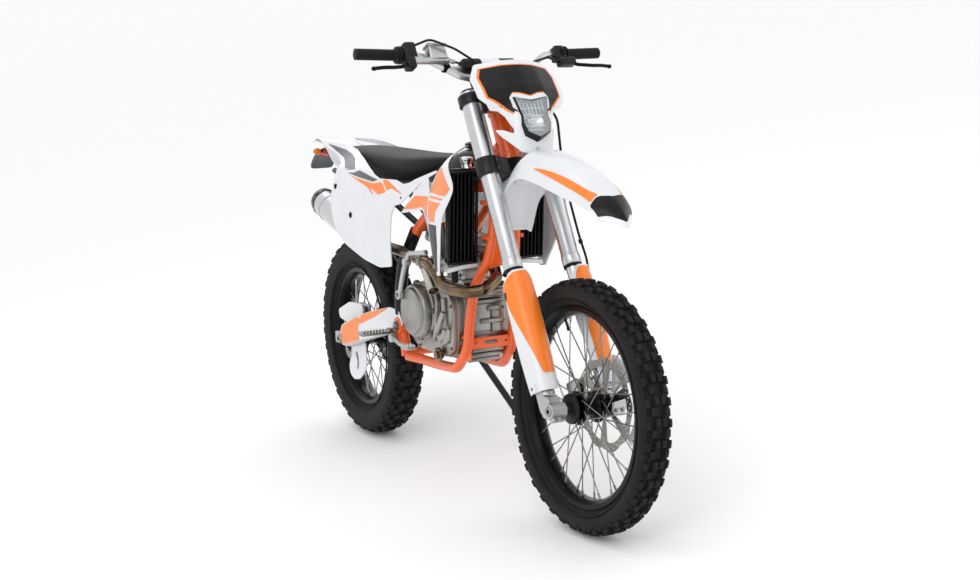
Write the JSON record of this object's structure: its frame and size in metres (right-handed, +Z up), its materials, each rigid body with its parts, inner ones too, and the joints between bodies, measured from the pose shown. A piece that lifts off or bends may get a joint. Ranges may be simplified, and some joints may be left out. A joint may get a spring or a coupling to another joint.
{
  "type": "enduro dirt bike",
  "caption": "Off-road motorcycle on its side stand, with turning wheels, steering and a folding stand.",
  "frame": {"origin": "centre of the bounding box at ground level, with the bike leaning on its side stand", "axes": "+Z up, -Y towards the front wheel, +X towards the rider's left"},
  "size_m": [0.7988, 2.2088, 1.3693],
  "materials": {
    "tyre_rubber": "matt black rubber with lugs",
    "black_rim": "black anodised",
    "hub_metal": "black hub with steel spokes",
    "steel": "brushed",
    "fork_silver": "satin silver",
    "cast_silver": "cast, satin",
    "white_plastic": "gloss white with orange stripes",
    "black_metal": "satin black",
    "grip_rubber": "matt black",
    "black_plastic": "matt black",
    "pad_foam": "black covered foam",
    "lamp_lens": "clear",
    "caliper_metal": "cast grey",
    "orange_frame": "gloss orange",
    "engine_grey": "cast grey-silver",
    "stainless": "heat-tinted stainless steel",
    "silencer_alloy": "satin with a black end",
    "lever_silver": "satin",
    "radiator_black": "black",
    "tank_plastic": "translucent white",
    "seat_cover": "black grained cover",
    "red_lens": "red lens",
    "shock_metal": "painted spring",
    "chain_steel": "oiled steel"
  },
  "bodies": {
    "front_wheel": {"front_tyre": "tyre_rubber", "front_rim": "black_rim", "front_hub": "hub_metal", "front_disc": "steel"},
    "rear_wheel": {"rear_tyre": "tyre_rubber", "rear_rim": "black_rim", "rear_hub": "hub_metal", "rear_disc": "steel", "rear_sprocket": "steel"},
    "steering": {"front_axle": "steel", "fork_outer_tubes": "fork_silver", "fork_lowers": "cast_silver", "fork_guards": "white_plastic", "lower_clamp": "black_metal", "upper_clamp": "black_metal", "handlebar": "cast_silver", "grips": "grip_rubber", "bar_controls": "black_plastic", "bar_pad": "pad_foam", "headlight_mask": "white_plastic", "headlamp": "lamp_lens", "front_fender": "white_plastic", "front_caliper": "caliper_metal"},
    "chassis": {"head_tube": "orange_frame", "main_frame": "orange_frame", "frame_cradle": "orange_frame", "subframe": "orange_frame", "frame_cross": "orange_frame", "crankcase": "engine_grey", "drive_sprocket": "steel", "engine_covers": "engine_grey", "cylinder": "engine_grey", "exhaust_header": "stainless", "silencer": "silencer_alloy", "kickstart_lever": "lever_silver", "radiators": "radiator_black", "fuel_tank": "tank_plastic", "seat": "seat_cover", "side_panels": "white_plastic", "shrouds": "white_plastic", "rear_fender": "white_plastic", "tail_lamp": "red_lens", "swingarm": "cast_silver", "swingarm_bolt": "black_metal", "rear_axle": "steel", "shock_absorber": "shock_metal", "drive_chain": "chain_steel", "rear_caliper": "caliper_metal", "footpegs": "cast_silver", "brake_pedal": "lever_silver", "gear_lever": "lever_silver", "stand_bracket": "black_metal"},
    "side_stand": {"side_stand": "black_metal"}
  },
  "joints": [
    {"name": "steering_turn", "type": "hinge", "parent": "chassis", "child": "steering", "pos_m": [-0.15093, -0.70816, 0.31967], "axis": [0.1396, 0.4504, 0.8819], "range_deg": [-45.6, 38.4]},
    {"name": "front_wheel_spin", "type": "hinge", "parent": "steering", "child": "front_wheel", "pos_m": [-0.14365, -0.75717, 0.34355], "axis": [0.9813, 0.0562, -0.1841], "continuous": true},
    {"name": "rear_wheel_spin", "type": "hinge", "parent": "chassis", "child": "rear_wheel", "pos_m": [-0.14846, 0.72274, 0.33609], "axis": [0.9877, 0.0001, -0.1564], "continuous": true},
    {"name": "side_stand_fold", "type": "hinge", "parent": "chassis", "child": "side_stand", "pos_m": [-0.02235, 0.13275, 0.31376], "axis": [0.9877, 0.0001, -0.1564], "range_deg": [0, 100]}
  ]
}
